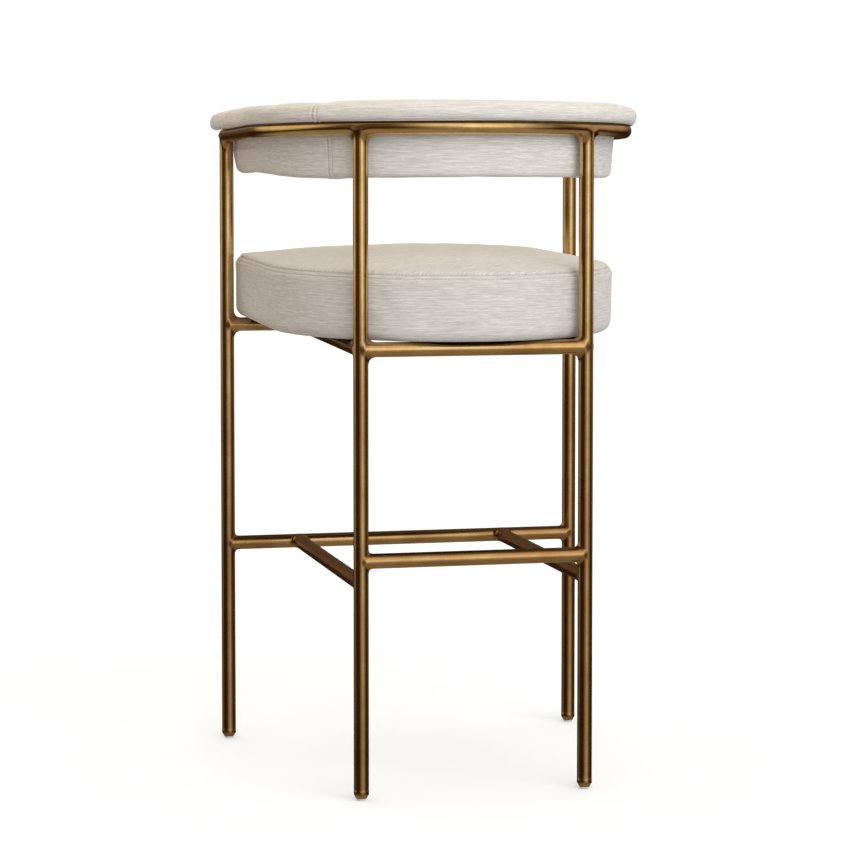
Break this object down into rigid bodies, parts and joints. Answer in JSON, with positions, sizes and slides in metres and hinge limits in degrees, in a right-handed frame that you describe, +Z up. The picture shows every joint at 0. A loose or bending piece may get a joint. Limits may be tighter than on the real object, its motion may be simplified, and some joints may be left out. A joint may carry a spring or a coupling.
{
  "type": "bar stool with footrest",
  "caption": "Bar-height stool: slim brass tube frame with an H-shaped footrest, thick upholstered D-shaped seat and a horseshoe arm and back pad on a curved rail.",
  "frame": {"origin": "on the floor, under the middle of the stool's box", "axes": "+Z up, +Y towards the back of the stool, the sitter faces -Y, +X to the sitter's left"},
  "size_m": [0.582, 0.5704, 0.9677],
  "materials": {
    "brass": "antique brass, brushed",
    "linen": "ivory slub linen",
    "foam": "matt foam",
    "plywood": "raw birch ply",
    "dust_cloth": "black non-woven",
    "zinc_steel": "zinc plated",
    "nylon": "matt nylon"
  },
  "bodies": {
    "root": {"leg_front_left": "brass", "leg_front_right": "brass", "leg_rear_left": "brass", "leg_rear_right": "brass", "top_rail": "brass", "top_rail_end_cap_left": "brass", "top_rail_end_cap_right": "brass", "seat_rail_front": "brass", "seat_rail_rear": "brass", "seat_crossbar_left": "brass", "seat_crossbar_right": "brass", "footrest_rail_front": "brass", "footrest_rail_rear": "brass", "footrest_crossbar_left": "brass", "footrest_crossbar_right": "brass", "seat_cover": "linen", "pad_cover": "linen", "seat_foam": "foam", "pad_foam": "foam", "seat_board": "plywood", "pad_core": "plywood", "dust_cover": "dust_cloth", "seat_screw_front_left": "zinc_steel", "seat_screw_front_right": "zinc_steel", "seat_screw_rear_left": "zinc_steel", "seat_screw_rear_right": "zinc_steel", "seat_t_nut_front_left": "zinc_steel", "seat_t_nut_front_right": "zinc_steel", "seat_t_nut_rear_left": "zinc_steel", "seat_t_nut_rear_right": "zinc_steel", "pad_screw_1": "zinc_steel", "pad_screw_2": "zinc_steel", "pad_screw_3": "zinc_steel", "pad_screw_4": "zinc_steel", "pad_screw_5": "zinc_steel", "glide_front_left": "nylon", "glide_front_right": "nylon", "glide_rear_left": "nylon", "glide_rear_right": "nylon"}
  },
  "joints": []
}
